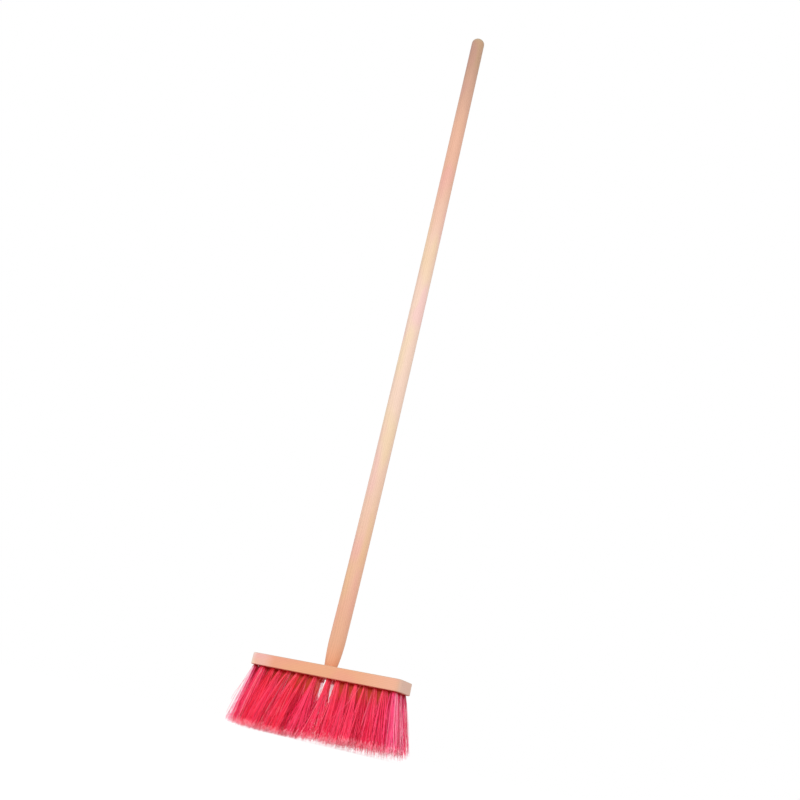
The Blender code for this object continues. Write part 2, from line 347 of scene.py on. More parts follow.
class WoodSettings(PropertyGroup):
    """Sizes and colours of the two pieces of wood."""

    bow: FloatProperty(
        name="Bow",
        description="How far the handle bows from the straight line, a third of the way up",
        default=0.0038,
        subtype="DISTANCE",
    )
    handle_sides: IntProperty(
        name="Handle Sides", description="Facets round the handle", default=72
    )
    ring_spacing: FloatProperty(
        name="Ring Spacing",
        description="Distance from one growth ring to the next",
        default=0.0026,
        subtype="DISTANCE",
    )
    # Foot, middle, shoulder and grip are partly the wood's own colours: the paler middle is partly
    # a painted highlight, the darker grip partly painted shade.
    foot: FloatVectorProperty(
        name="Handle Foot",
        description="Wood at the foot of the handle",
        default=(0.745, 0.385, 0.232),
        subtype="COLOR",
    )
    waist: FloatVectorProperty(
        name="Handle Middle",
        description="Wood halfway up the handle",
        default=(0.800, 0.575, 0.455),
        subtype="COLOR",
    )
    shoulder: FloatVectorProperty(
        name="Handle Shoulder",
        description="Pinker wood below the grip",
        default=(0.705, 0.390, 0.270),
        subtype="COLOR",
    )
    # The grip's darker colour is partly painted shade.
    grip: FloatVectorProperty(
        name="Handle Grip",
        description="Handled wood near the top",
        default=(0.465, 0.265, 0.182),
        subtype="COLOR",
    )
    # Real grime on the handle's crown. On the block the same grey is painted shade at the +X corner
    # and the top edge, and the grey along the bottom edge.
    grime_and_shade: FloatVectorProperty(
        name="Grime",
        description="Grey of dirty end grain and handled edges",
        default=(0.40, 0.34, 0.23),
        subtype="COLOR",
    )
    block: FloatVectorProperty(
        name="Block",
        description="Planed wood of the block",
        default=(0.795, 0.384, 0.214),
        subtype="COLOR",
    )
    block_pale: FloatVectorProperty(
        name="Block Pale",
        description="Paler wood at one end of the block",
        default=(0.860, 0.720, 0.570),
        subtype="COLOR",
    )
    block_pink: FloatVectorProperty(
        name="Block Pink",
        description="Pinker wood beside the pale end, with a little of it at the other end",
        default=(0.830, 0.475, 0.365),
        subtype="COLOR",
    )
    # The end grain's darker, greyer colour is partly the sawn wood's own and partly painted shade
    # on the ends.
    end_grain: FloatVectorProperty(
        name="End Grain",
        description="Sawn ends of the block",
        default=(0.660, 0.450, 0.355),
        subtype="COLOR",
    )
    pinkish: FloatVectorProperty(
        name="Pinkish Patch",
        description="What a steamed, pinker patch multiplies the wood's colour by",
        default=(1.01, 0.93, 1.06),
    )
    yellowish: FloatVectorProperty(
        name="Yellowish Patch",
        description="What a yellower patch multiplies the wood's colour by",
        default=(0.99, 1.04, 0.90),
    )
    # Painted light: the redder, brighter foot lifts the shade on the handle just over the block.
    lit_foot: FloatVectorProperty(
        name="Reddish Foot",
        description="What the redder wood just over the block multiplies the wood's colour by",
        default=(1.12, 0.98, 0.90),
    )
    # Painted light: the underside glows with the red light that the tufts throw on it.
    underside_glow: FloatProperty(
        name="Stain Glow",
        description="Red light that the tufts throw on the underside",
        default=0.07,
    )
    # The underside's deep red is painted shade with the red light that the tufts throw on it.
    underside_red_shade: FloatVectorProperty(
        name="Stain",
        description="Underside of the block, which the bristles have coloured",
        default=(0.60, 0.020, 0.020),
        subtype="COLOR",
    )


class BristleSettings(PropertyGroup):
    """Sizes and colours of the bristles."""

    per_tuft: IntProperty(
        name="Strands per Tuft", description="Bristles in each hole", default=150
    )
    radius: FloatProperty(
        name="Strand Radius",
        description="Half the thickness of a bristle",
        default=0.00029,
        subtype="DISTANCE",
    )
    flag_radius: FloatProperty(
        name="Flag Radius",
        description="Half the thickness of a hair of a bristle's split tip",
        default=0.00011,
        subtype="DISTANCE",
    )
    comb: FloatProperty(
        name="Comb",
        description="How far use has bent tips towards -X, before the shares for their place",
        default=0.016,
        subtype="DISTANCE",
    )
    flags: IntProperty(
        name="Flags", description="Hairs that each tip is split into", default=2
    )
    flag_length: FloatProperty(
        name="Flag Length",
        description="How far up a tip is split",
        default=0.009,
        subtype="DISTANCE",
    )
    clumps: IntProperty(
        name="Clumps", description="Bunches that a tuft's tips gather in", default=10
    )
    unevenness: FloatProperty(
        name="Unevenness",
        description="How much the strands differ in length",
        default=0.0034,
        subtype="DISTANCE",
    )
    coral: FloatVectorProperty(
        name="Coral",
        description="The redder bristles",
        default=(1.0, 0.024, 0.072),
        subtype="COLOR",
    )
    magenta: FloatVectorProperty(
        name="Magenta",
        description="The bluer bristles",
        default=(1.0, 0.062, 0.26),
        subtype="COLOR",
    )
    deep: FloatVectorProperty(
        name="Crimson",
        description="The darkest bristles",
        default=(0.42, 0.003, 0.018),
        subtype="COLOR",
    )
    light: FloatVectorProperty(
        name="Light Pink",
        description="The lightest of the pink bristles",
        default=(1.0, 0.13, 0.24),
        subtype="COLOR",
    )
    # Pale strands elsewhere are the bristles' own. In the end tufts their paleness is painted light
    # shining through the thin ends of the field.
    pale: FloatVectorProperty(
        name="Pale Strands",
        description="Nearly white bristles, most of them in the end tufts",
        default=(1.0, 0.74, 0.84),
        subtype="COLOR",
    )
    # The tips' paler colour is partly the split ends' own and partly painted light against the
    # shade near the floor.
    tip: FloatVectorProperty(
        name="Tips",
        description="Split ends",
        default=(1.0, 0.60, 0.68),
        subtype="COLOR",
    )
    # The root brown is painted shade with brown light from the wood, on the inner rows' roots.
    root_brown_shade: FloatVectorProperty(
        name="Root Dust",
        description="Brown dust among the roots, most of it behind the front row",
        default=(0.70, 0.17, 0.065),
        subtype="COLOR",
    )
    # Painted shadow of the block on the roots just under it
    root_shadow: FloatVectorProperty(
        name="Root Stain",
        description="What the shade just under the block multiplies a bristle's colour by",
        default=(0.62, 0.08, 0.10),
    )
    wisps: FloatProperty(
        name="Wisps",
        description="Share of an end tuft's outward strands that aren't turned back",
        default=0.25,
    )
    # The glow is painted light that lifts the bristles' shade.
    glow: FloatProperty(
        name="Glow", description="Light that the fluorescent dye sends back", default=0.10
    )
    strays: IntProperty(
        name="Strays", description="Bent bristles that stand away from the tufts", default=9
    )
    # The end wisps' paleness is painted light shining through the thin ends of the field.
    end_wisps: IntProperty(
        name="End Wisps", description="Thin pale bristles beside the end tufts", default=24
    )
    left_over: IntProperty(
        name="Left Over",
        description="Long pale bristles on each side of the wide middle step",
        default=20,
    )
    broken: IntProperty(
        name="Broken",
        description="Short broken bristles on each side of the wide middle step",
        default=60,
    )
    # The tips' extra glow is painted light that lifts the shade near the floor.
    lit_tip: FloatVectorProperty(
        name="Tip Glow",
        description="What the tips multiply the glow by",
        default=(2.4, 2.4, 2.4),
    )
    # The root brown's extra glow is painted light.
    lit_root_brown: FloatVectorProperty(
        name="Dust Glow",
        description="What the dust multiplies the glow by",
        default=(2.2, 2.2, 2.2),
    )


class StageSettings(PropertyGroup):
    """The camera, the floor and the lamps."""

    camera_place: FloatVectorProperty(
        name="Camera Place",
        description="Where the camera stands",
        default=(0.712330, -1.266520, 0.008610),
        subtype="XYZ",
    )
    camera_turn: FloatVectorProperty(
        name="Camera Turn",
        description="Rotation of the camera",
        default=(math.radians(112.87375), math.radians(-12.15091), math.radians(23.83962)),
        subtype="EULER",
    )
    lens: FloatProperty(
        name="Lens", description="Focal length on a 36 mm sensor, in mm", default=38.1921
    )
    floor_side: FloatProperty(
        name="Floor", description="Side of the floor", default=30.0, subtype="DISTANCE"
    )
    surroundings: FloatProperty(
        name="Surroundings", description="Brightness of the white room", default=0.80
    )
    key: FloatProperty(
        name="Key Lamp", description="Power of the main lamp, in watts", default=40.0
    )
    fill: FloatProperty(
        name="Fill Lamp", description="Power of the second lamp, in watts", default=8.0
    )


class Value:
    """A socket of a material. Arithmetic on it adds Math nodes."""

    def __init__(self, finish, socket):
        self.finish = finish
        self.socket = socket

    def math(self, operation, *values):
        return self.finish.node(
            "ShaderNodeMath", {"operation": operation}, dict(enumerate(values))
        )

    def __add__(self, other):
        return self.math("ADD", self, other)

    __radd__ = __add__

    def __sub__(self, other):
        return self.math("SUBTRACT", self, other)

    def __rsub__(self, other):
        return self.math("SUBTRACT", other, self)

    def __mul__(self, other):
        return self.math("MULTIPLY", self, other)

    __rmul__ = __mul__

    def __truediv__(self, other):
        return self.math("DIVIDE", self, other)

    def __rtruediv__(self, other):
        return self.math("DIVIDE", other, self)

    def __pow__(self, other):
        return self.math("POWER", self, other)

    def __rpow__(self, other):
        return self.math("POWER", other, self)

    def __abs__(self):
        return self.math("ABSOLUTE", self)


class Finish:
    """The nodes of a material or a world, with the few kinds of node that the broom needs."""

    def __init__(self, owner):
        self.owner = owner
        owner.use_nodes = True
        self.tree = owner.node_tree
        self.tree.nodes.clear()

    def node(self, kind, settings=None, sockets=None, output=0):
        """Adds a node: its settings first, then the values or links of its sockets."""
        made = self.tree.nodes.new(kind)
        for name, value in (settings or {}).items():
            setattr(made, name, value)
        for key, value in (sockets or {}).items():
            if isinstance(value, Value):
                self.tree.links.new(value.socket, made.inputs[key])
            else:
                made.inputs[key].default_value = value
        return Value(self, made.outputs[output]) if made.outputs else made

    def parts(self, vector):
        """The three parts of a vector."""
        return [
            self.node("ShaderNodeSeparateXYZ", sockets={0: vector}, output=axis)
            for axis in range(3)
        ]

    def place(self):
        """The three parts of the place on the object, in metres."""
        return self.parts(self.node("ShaderNodeTexCoord", output="Object"))

    def attribute(self, name):
        return self.node("ShaderNodeAttribute", {"attribute_name": name}, output="Fac")

    def lumps(self, place, per_metre, detail=2.0, shift=None):
        """Soft noise about 0.5, with so many lumps in a metre of each part of the place."""
        scaled = [part * number for part, number in zip(place, per_metre)]
        if shift:
            scaled = [part + move for part, move in zip(scaled, shift)]
        vector = self.node("ShaderNodeCombineXYZ", sockets=dict(enumerate(scaled)))
        return self.node(
            "ShaderNodeTexNoise",
            sockets={"Vector": vector, "Scale": 1.0, "Detail": detail},
        )

    def rise(self, value, low, high):
        """0 below low and 1 above high, with a smooth step between."""
        return self.node(
            "ShaderNodeMapRange",
            {"interpolation_type": "SMOOTHSTEP"},
            {"Value": value, "From Min": low, "From Max": high},
        )

    def blend(self, share, first, second):
        """The first colour where share is 0 and the second where it is 1."""
        return self.node(
            "ShaderNodeMix",
            {"data_type": "RGBA"},
            {0: share, 6: opaque(first), 7: opaque(second)},
            output=2,
        )

    def shade(self, colour, amount):
        """The colour times a number."""
        return self.node(
            "ShaderNodeVectorMath", {"operation": "SCALE"}, {0: colour, "Scale": amount}
        )

    def tint(self, share, colour, factor):
        """The colour, multiplied by the factor where share is 1."""
        tinted = self.node(
            "ShaderNodeVectorMath", {"operation": "MULTIPLY"}, {0: colour, 1: factor}
        )
        return self.blend(share, colour, tinted)

    def surface(self, colour, roughness, normal=None, glow=0.0, lit=None, **fixed):
        """Ends the material with its shader. Fixed values go on the shader's own sockets.

        With a glow, the surface sends out that much light, of the lit colour or else its own.
        """
        shader = self.node(
            "ShaderNodeBsdfPrincipled",
            sockets={"Base Color": colour, "Roughness": roughness},
        )
        inputs = shader.socket.node.inputs
        for name, value in fixed.items():
            inputs[name.replace("_", " ")].default_value = value
        if normal:
            self.tree.links.new(normal.socket, inputs["Normal"])
        if glow:
            self.tree.links.new((lit or colour).socket, inputs["Emission Color"])
            inputs["Emission Strength"].default_value = glow
        self.node("ShaderNodeOutputMaterial", sockets={"Surface": shader})
        return self.owner


def opaque(colour):
    """A colour as four numbers. A link stays as it is."""
    return colour if isinstance(colour, Value) else (*colour, 1.0)


def ragged(value, noise, reach):
    """A coordinate that noise moves to and fro, so that what ends at it has a ragged edge."""
    return value + (noise - NOISE_MIDDLE) * reach


def wood_figure(finish, along, side, depth, pith, spacing):
    """Growth rings, pores and fibres of beech, each as a share from 0 to 1.

    Rings are round a line that runs with the grain through the pith, and wander a little. Each
    ring darkens slowly and ends at once. Pores and fibres are noise drawn out along the grain.
    """
    place = (side, depth, along)
    out = ((side - pith[0]) ** 2 + (depth - pith[1]) ** 2) ** 0.5
    turn = (out + finish.lumps(place, WANDER_LUMPS) * (spacing * WANDER_IN_RINGS)) / spacing
    part = turn.math("FRACT", turn)
    ring = finish.rise(part, *RING_DARKENS) * (1 - finish.rise(part, *RING_ENDS))
    pore = finish.rise(finish.lumps(place, PORE_LUMPS, detail=1), *PORE_LEVELS)
    return ring, pore, finish.lumps(place, FIBRE_LUMPS, detail=3)


def patched(finish, colour, along, side, depth, wood):
    """The colour with slow pinker and yellower patches, each from a noise of its own."""
    place = (side, depth, along)
    pink_noise = finish.lumps(place, PINK_LUMPS, detail=1)
    yellow_noise = finish.lumps(place, YELLOW_LUMPS, detail=1, shift=YELLOW_SHIFT)
    colour = finish.tint(finish.rise(pink_noise, *PINK_LEVELS), colour, wood.pinkish)
    return finish.tint(finish.rise(yellow_noise, *YELLOW_LEVELS), colour, wood.yellowish)


def grained(finish, colour, ring, pore, fibre, **fixed):
    """The last steps that both woods share: the figure darkens, roughens and dents them."""
    tone = PLAIN_TONE - ring * RING_TONE - pore * PORE_TONE
    tone = tone - abs(fibre - NOISE_MIDDLE) * FIBRE_TONE
    height = fibre * FIBRE_RELIEF - pore * PORE_RELIEF - ring * RING_RELIEF
    relief = finish.node(
        "ShaderNodeBump",
        sockets={"Strength": RELIEF_STRENGTH, "Distance": RELIEF_DEPTH, "Height": height},
    )
    roughness = WOOD_ROUGHNESS + fibre * FIBRE_ROUGHNESS + pore * PORE_ROUGHNESS
    return finish.surface(finish.shade(colour, tone), roughness, relief, **fixed)


def handle_wood(wood):
    """The handle's finish: grain up the stick, paler at the waist and darker at the top, partly the
    wood's own colour and partly a painted highlight and painted shade.
    """
    finish = Finish(bpy.data.materials.new("handle_beech"))
    x, y, z = finish.place()
    ring, pore, fibre = wood_figure(finish, z, x, y, HANDLE_PITH, wood.ring_spacing)
    height = ragged(z, finish.lumps((x, y, z), DRIFT_LUMPS), DRIFT)
    # Foot to grip: partly the wood's own colours, partly a painted highlight at the middle and
    # painted shade at the top
    colour = finish.blend(finish.rise(height, *FOOT_TO_WAIST), wood.foot, wood.waist)
    colour = finish.blend(finish.rise(height, *WAIST_TO_SHOULDER), colour, wood.shoulder)
    colour = finish.blend(finish.rise(height, *SHOULDER_TO_GRIP), colour, wood.grip)
    # Painted light against the shade just over the block
    colour = finish.tint(1 - finish.rise(z, *LIT_FOOT_HEIGHTS), colour, wood.lit_foot)
    colour = patched(finish, colour, z, x, y, wood)
    dirt = finish.lumps((x, y, z), DIRT_LUMPS, detail=3)
    crown = finish.rise(ragged(z, dirt, DIRT_DRIFT), *CROWN_HEIGHTS)
    colour = finish.blend(crown * CROWN_GRIME, colour, wood.grime_and_shade)
    return grained(finish, colour, ring, pore, fibre)


def block_wood(wood):
    """The block's finish: grain along the board, with grey edges and sawn end grain. The grey at
    the +X corner and along the top edge is painted shade, and so is part of the ends' darker
    colour.

    One end is pale, with pinker wood beside it. The underside is painted deep red, painted shade
    with the red light that the tufts throw on it, and it glows a little as painted light.
    """
    finish = Finish(bpy.data.materials.new("block_beech"))
    x, y, z = finish.place()
    ring, pore, fibre = wood_figure(finish, x, y, z, BLOCK_PITH, wood.ring_spacing)
    along = ragged(x, finish.lumps((x, y, z), BLOCK_DRIFT_LUMPS), BLOCK_DRIFT)
    other_end = finish.rise(along, *OTHER_PINK_END) * OTHER_PINK
    pinker = 1 - finish.rise(along, *PINK_END) + other_end
    colour = finish.blend(pinker, wood.block, wood.block_pink)
    colour = finish.blend(1 - finish.rise(along, *PALE_END), colour, wood.block_pale)
    colour = patched(finish, colour, x, y, z, wood)
    facing_x, _, facing_z = finish.parts(
        finish.node("ShaderNodeNewGeometry", output="Normal")
    )
    # The ends: partly the end grain's own colour, partly painted shade
    end = finish.rise(abs(facing_x), *FACING_LEVELS)
    colour = finish.blend(end * END_GRAIN_SHARE, colour, wood.end_grain)
    # Painted shade and red bounce light on the underside
    below = finish.rise(facing_z * -1, *FACING_LEVELS)
    colour = finish.blend(below, colour, wood.underside_red_shade)
    # Painted shade: greyer towards the +X corner, where the front turns to the shaded end
    corner = finish.rise(x, BLOCK_HIGH.x - CORNER_DEPTH, BLOCK_HIGH.x) * (1 - end)
    colour = finish.blend(corner * CORNER_SHADE, colour, wood.grime_and_shade)
    # A ragged border for the painted shade along the top edge and the grey along the bottom edge
    edge_noise = finish.lumps((x, y, z), EDGE_NOISE_LUMPS, detail=3)
    # Painted shade along the rounded top edge
    top = finish.rise(ragged(z, edge_noise, TOP_DRIFT), BLOCK_HIGH.z - TOP_DEPTH, BLOCK_HIGH.z)
    colour = finish.blend(top * TOP_EDGE_SHADE, colour, wood.grime_and_shade)
    # Greyer along the bottom edge
    low = 1 - finish.rise(ragged(z, edge_noise, LOW_DRIFT), UNDERSIDE, UNDERSIDE + LOW_DEPTH)
    colour = finish.blend(low * LOW_EDGE_GREY, colour, wood.grime_and_shade)
    # The underside glows a little: painted light
    lit = finish.shade(colour, below)
    return grained(finish, colour, ring, pore, fibre, glow=wood.underside_glow, lit=lit)


def bristle_finish(name, bristle):
    """Plastic strands, whose attributes say how blue, how light and how pale each one is.

    A strand is darker near its root, painted shade, and paler at its split end. Over that lie a
    painted brown among the inner roots, painted shade with brown light from the wood, and the
    block's painted shadow on the roots. All strands glow a little as painted light, and the ends
    and the brown roots glow more.
    """
    finish = Finish(bpy.data.materials.new(name))
    x, y, z = finish.place()
    hue, tone, pale, reach = (
        finish.attribute(f"strand_{kind}") for kind in ("hue", "tone", "pale", "reach")
    )
    streak = finish.lumps((x, y, z), STREAK_LUMPS) - NOISE_MIDDLE
    shade = (1 - finish.rise(reach, *ROOT_SHADE_REACH)) * ROOT_SHADE
    tone = tone + streak * STREAK_TONE - shade
    colour = finish.blend(hue, bristle.coral, bristle.magenta)
    colour = finish.blend(1 - finish.rise(tone, *DEEP_TONES), colour, bristle.deep)
    colour = finish.blend(finish.rise(tone, *LIGHT_TONES) * LIGHT_SHARE, colour, bristle.light)
    colour = finish.blend(pale, colour, bristle.pale)
    lighter = finish.rise(tone, *TIP_TONES) * (1 - LEAST_TIP_SHARE) + LEAST_TIP_SHARE
    ends = finish.rise(reach, *TIP_REACH) * lighter
    colour = finish.blend(ends * TIP_SHARE, colour, bristle.tip)
    # Painted shade with brown light from the wood, among the roots behind the front row
    inner = finish.rise(y, *ROOT_BROWN_BEHIND) * (1 - LEAST_ROOT_BROWN_SHARE) + LEAST_ROOT_BROWN_SHARE
    inner *= 1 - finish.rise(y, *ROOT_BROWN_BEFORE)
    inner *= 1 - finish.rise(abs(x), *ROOT_BROWN_WITHIN)
    root_brown = inner * (1 - finish.rise(reach, *ROOT_BROWN_REACH)) * finish.rise(x, *ROOT_BROWN_FROM_LEFT)
    colour = finish.blend(root_brown * ROOT_BROWN_SHARE, colour, bristle.root_brown_shade)
    # Painted shadow of the block on the roots just under it
    colour = finish.tint(1 - finish.rise(reach, *ROOT_SHADOW_REACH), colour, bristle.root_shadow)
    # Painted light: all strands glow a little, the ends and the brown roots more
    lit = finish.tint(root_brown, finish.tint(ends, colour, bristle.lit_tip), bristle.lit_root_brown)
    roughness = PLASTIC_ROUGHNESS + streak * STREAK_ROUGHNESS
    return finish.surface(colour, roughness, glow=bristle.glow, lit=lit, IOR=PLASTIC_IOR)


def finished(name, points, quads, triangles, material, slot, *replaced):
    """Puts a surface into the scene as a piece that rides on the part."""
    mesh = bpy.data.meshes.new(name)
    mesh.from_pydata(points, [], quads.tolist() + triangles.tolist())
    mesh.materials.append(material)
    piece = bpy.data.objects.new(name, mesh)
    bpy.context.scene.collection.objects.link(piece)
    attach(piece, "root")
    if replaced:
        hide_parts(*replaced)
    return piece


def give_values(piece, **values):
    """Stores one number for each vertex under each name."""
    for name, numbers in values.items():
        made = piece.data.attributes.new(f"strand_{name}", "FLOAT", "POINT")
        made.data.foreach_set("value", np.ascontiguousarray(numbers, np.float32).ravel())


def by_vertex(values, stations):
    """A value for each strand, repeated for all of its vertices."""
    return np.repeat(values, stations * STRAND_SIDES)


def by_station(shares, count):
    """A value for each station of a strand, for the vertices there and for so many strands."""
    return np.tile(np.repeat(shares, STRAND_SIDES), count)


def turned_outline():
    """Radius and height of the handle, from the middle of its foot up to the top of its dome.

    The neck's radius falls from the stick's to the spigot's as the square of the way down, and
    the dome is a quarter of an ellipse.
    """
    radius = HANDLE_HIGH.y
    low, top = HANDLE_LOW.z, HANDLE_HIGH.z
    neck = np.linspace(0, 1, CURVE_STEPS)
    neck_z = low + SPIGOT_LENGTH + NECK_LENGTH * neck
    neck_r = radius - (radius - SPIGOT_RADIUS) * (1 - neck) ** 2
    stick_z = np.linspace(neck_z[-1], top - DOME_HEIGHT, STICK_STEPS)[1:-1]
    turn = np.linspace(0, math.pi / 2, CURVE_STEPS)
    dome_z = top - DOME_HEIGHT * (1 - np.sin(turn))
    dome_r = radius * np.cos(turn)
    foot_r = np.array([0, SPIGOT_RADIUS - SPIGOT_CHAMFER, SPIGOT_RADIUS])
    foot_z = np.array([low, low, low + SPIGOT_CHAMFER])
    heights = np.concatenate([foot_z, neck_z, stick_z, dome_z])
    radii = np.concatenate([foot_r, neck_r, np.full(len(stick_z), radius), dome_r])
    return np.stack([radii, heights], 1)


def turned_surface(outline, sides, bow):
    """The outline turned about Z, its axis bowed sideways as a sine of a power of the height.

    A point is at radius times (cos, sin) of the turn. The radius swells and shrinks by the
    sanding's depth, as slow sines of height and turn, and never gets past the turned one.
    """
    angle = np.linspace(0, FULL_TURN, sides, endpoint=False)
    radius, height = outline[1:-1, :1], outline[1:-1, 1:]
    low, top = outline[0, 1], outline[-1, 1]
    share = np.clip((height - BLOCK_HIGH.z) / (top - BLOCK_HIGH.z), 0, 1)
    waves = np.sin(height * WAVES_UP + angle) * np.sin(height * SLOWER_WAVES_UP)
    sanded = SANDING_DEPTH - SANDING_DEPTH * (waves * np.sin(share * math.pi))
    radius = radius - sanded * (share > 0)
    off = bow * np.sin(share**BOW_POWER * math.pi)
    x = radius * np.cos(angle) + off
    y = radius * np.sin(angle) + off * BOW_ACROSS_SHARE
    grid = np.stack(np.broadcast_arrays(x, y, height), 2).reshape(-1, 3)
    points = np.concatenate([[[0, 0, low]], grid, [[0, 0, top]]])
    rings = len(height)
    index = 1 + np.arange(rings * sides).reshape(rings, sides)
    beside = np.roll(index, -1, 1)
    quads = np.stack([index[:-1], beside[:-1], beside[1:], index[1:]], 2).reshape(-1, 4)
    last = np.full(sides, len(points) - 1)
    foot = np.stack([np.zeros(sides, int), beside[0], index[0]], 1)
    crown = np.stack([last, index[-1], beside[-1]], 1)
    return points, quads, np.concatenate([foot, crown])


def strand_surface(paths, radii, chance):
    """Three-sided tubes along many paths at once, closed at both ends.

    paths holds strands by stations by 3, radii strands by stations. A corner is its station's
    point plus the radius in a direction across Z, which turns a little on the way.
    """
    count, stations = radii.shape
    starts = chance.uniform(0, FULL_TURN, count)[:, None, None]
    step = np.arange(STRAND_SIDES) * (FULL_TURN / STRAND_SIDES)
    angle = starts + step + np.linspace(0, STRAND_TWIST, stations)[:, None]
    across = np.stack([np.cos(angle), np.sin(angle), np.zeros_like(angle)], 3)
    points = paths[:, :, None] + radii[:, :, None, None] * across
    index = np.arange(points[..., 0].size).reshape(count, stations, STRAND_SIDES)
    beside = np.roll(index, -1, 2)
    quads = np.stack(
        [index[:, :-1], index[:, 1:], beside[:, 1:], beside[:, :-1]], 3
    ).reshape(-1, 4)
    ends = np.concatenate([index[:, 0], index[:, -1, ::-1]])
    return points.reshape(-1, 3), quads, ends


def tuft_axes(along, across):
    """A hole's mouth, the way down the tuft, and two directions across it.

    The step between the two middle places is the wider one, and a hole whose inner end would
    come too near the handle's socket stands further out.
    """
    from_middle = MIDDLE_STEP / 2 + PITCH_ALONG * (abs(along) - 0.5)
    mouth = np.array([math.copysign(from_middle, along), across * PITCH_ACROSS, UNDERSIDE])
    lean = [math.tan(FAN_ALONG) * along / PLACES_TO_END, math.tan(FAN_ACROSS) * across, -1]
    inner_end = mouth[:2] - np.array(lean[:2]) * HOLE_DEPTH
    from_socket = np.linalg.norm(inner_end)
    if from_socket < HOLES_KEEP_OFF:
        mouth[:2] += inner_end / from_socket * (HOLES_KEEP_OFF - from_socket)
    down = np.array(lean) / np.linalg.norm(lean)
    side = np.cross(down, (0, 1, 0))
    side /= np.linalg.norm(side)
    return mouth, down, side, np.cross(side, down)


def trimmed(x):
    """Height of the trimmed tips: level, and rising as a square near the block's ends."""
    past = np.maximum(np.abs(x) - TRIM_LEVEL, 0) / TRIM_ZONE
    return TRIM_RISE * past**2


def worn_share(x):
    """How worn the tips are: 0 at the -X end and 1 from well past the middle."""
    return np.clip((x - WEAR_FROM) / WEAR_ZONE, 0, 1)


def place_of(node):
    """Steps from the middle, along and across, of the hole that a tuft stands in."""
    row, _, number = node.split("_")
    full = [n for n in range(1, PLACES_PER_ROW + 1) if (row, n) not in EMPTY_PLACES]
    return full[int(number) - 1] - 1 - PLACES_TO_END, ROWS.index(row) - 1


def held_in(offset, axis_place, room, reach):
    """Offsets from -1 to 1 scaled to reach, but to less on the side where the room ends."""
    outward = np.sign(axis_place) if abs(axis_place) > room / 2 else 0
    left = room - abs(axis_place)
    return offset * np.where(offset * outward > 0, min(reach, left), reach)


def kept_over(paths, gap):
    """Lifts what would come nearer to the trimmed surface than the gap."""
    paths[..., 2] = np.maximum(paths[..., 2], trimmed(paths[..., 0]) + gap)


def opening(along, across):
    """How a tuft opens: the range of the power of a strand's length, and the flare at its root.

    The tufts at the +X end and the front corner at -X open at once, and those of the two places
    on either side of the wide middle step open late. Of the others, the front ones leave their
    holes narrow, before wider ones in the rows behind.
    """
    if along == PLACES_TO_END or (along == -PLACES_TO_END and across < 0):
        return OPENS_AT_ONCE
    if abs(along) < LATE_WITHIN_PLACES:
        return FRONT_OPENS_LATE if across < 0 else OPENS_LATE
    powers, flares = (FRONT_POWERS, FRONT_FLARES) if across < 0 else (OTHER_POWERS, OTHER_FLARES)
    end = int(math.copysign(1, along)) if abs(along) > NEAR_END_PLACES else 0
    return *powers, flares[end + 1]


def comb_course(x, shares):
    """How far tips at x are bent, as a share of the comb at each share of their length.

    The comb fades out towards both ends. Bristles of the -X half are bent near their roots, and
    those just past the middle less, and near their tips.
    """
    most = np.interp(x, COMB_PLACES, COMB_SHARES) * (1 - (x / TIP_END) ** 2)
    early = np.interp(x, COMB_PLACES, EARLY_COMB_SHARES)
    near_root = 1 - (1 - shares) ** EARLY_COMB_POWER
    return most * (early * near_root + (1 - early) * shares**LATE_COMB_POWER)


def sunflower(count, chance):
    """Points spread evenly over a disc of radius 1, along a spiral that starts anywhere."""
    number = np.arange(count)
    turn = number * GOLDEN_ANGLE + chance.uniform(0, FULL_TURN)
    out = np.sqrt((number + 0.5) / count)
    return np.stack([np.cos(turn), np.sin(turn)], 1) * out[:, None]


def strand_aims(along, count, bristle, chance):
    """Where strands start and where they aim, both on a disc of radius 1, and their bunches.

    A strand aims in the direction of its root, drawn part of the way to its bunch, which is one
    of the nearest. In an end tuft, most of those that would stand out past the block turn back.
    """
    disc = sunflower(count, chance)
    bunches = sunflower(bristle.clumps, chance)
    apart = np.linalg.norm(disc[:, None] - bunches, axis=2)
    bunch = np.argmin(apart + chance.uniform(0, BUNCH_CHANCE, apart.shape), axis=1)
    pull = chance.uniform(*BUNCH_PULL_SHARES, (count, 1))
    aim = disc * (1 - pull) + bunches[bunch] * pull + chance.normal(0, AIM_CHANCE, (count, 2))
    if abs(along) == PLACES_TO_END:
        inward = (aim[:, 0] * along > 0) & (chance.uniform(0, 1, count) > bristle.wisps)
        aim[:, 0] = np.where(inward, aim[:, 0] * INWARD_SHARE, aim[:, 0])
    return disc, aim, bunch


